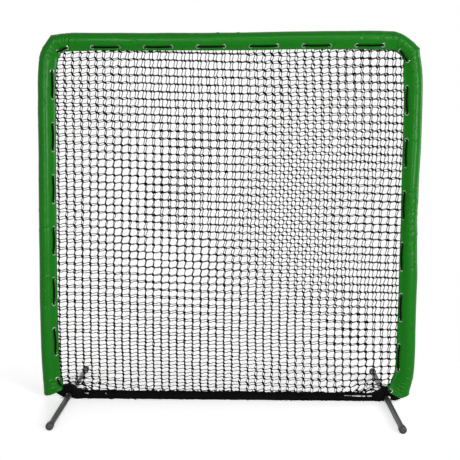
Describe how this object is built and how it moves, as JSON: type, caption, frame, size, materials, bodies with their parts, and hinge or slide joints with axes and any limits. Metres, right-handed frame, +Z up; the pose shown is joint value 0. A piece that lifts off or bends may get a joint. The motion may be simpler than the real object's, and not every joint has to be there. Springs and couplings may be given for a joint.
{
  "type": "padded protective field screen",
  "caption": "Square tube-frame field screen with a double net, laced padded sleeves on its top and sides, and two front-to-back legs that hold it upright.",
  "frame": {"origin": "on the floor, under the middle of the net", "axes": "+X to the right along the screen as seen from its front, -Y towards the front, +Z up"},
  "size_m": [2.214, 1.22, 2.1615],
  "materials": {
    "galvanised_tube": "galvanised, dull",
    "zinc_hardware": "zinc plated",
    "leg_tube": "dark grey powder coat, satin",
    "leg_cap": "moulded, satin",
    "foam": "closed-cell foam",
    "green_vinyl": "coated vinyl fabric, satin",
    "lace_cord": "braided cord",
    "net_twine": "twisted knotted twine"
  },
  "bodies": {
    "root": {"frame_top_left": "galvanised_tube", "frame_top_right": "galvanised_tube", "frame_bottom_left": "galvanised_tube", "frame_bottom_right": "galvanised_tube", "splice_left": "galvanised_tube", "splice_right": "galvanised_tube", "splice_top": "galvanised_tube", "splice_bottom": "galvanised_tube", "splice_screws": "zinc_hardware", "leg_front_left": "leg_tube", "leg_front_right": "leg_tube", "leg_rear_left": "leg_tube", "leg_rear_right": "leg_tube", "cap_front_left": "leg_cap", "cap_front_right": "leg_cap", "cap_rear_left": "leg_cap", "cap_rear_right": "leg_cap", "leg_bolts": "zinc_hardware", "leg_nuts": "zinc_hardware", "foam_left": "foam", "foam_right": "foam", "foam_top": "foam", "cover_left": "green_vinyl", "cover_right": "green_vinyl", "cover_top": "green_vinyl", "pad_lace": "lace_cord", "net_front": "net_twine", "net_rear": "net_twine", "net_hem_front": "net_twine", "net_hem_rear": "net_twine", "hem_lacing": "lace_cord", "corner_gather_left": "net_twine", "corner_gather_right": "net_twine"}
  },
  "joints": []
}
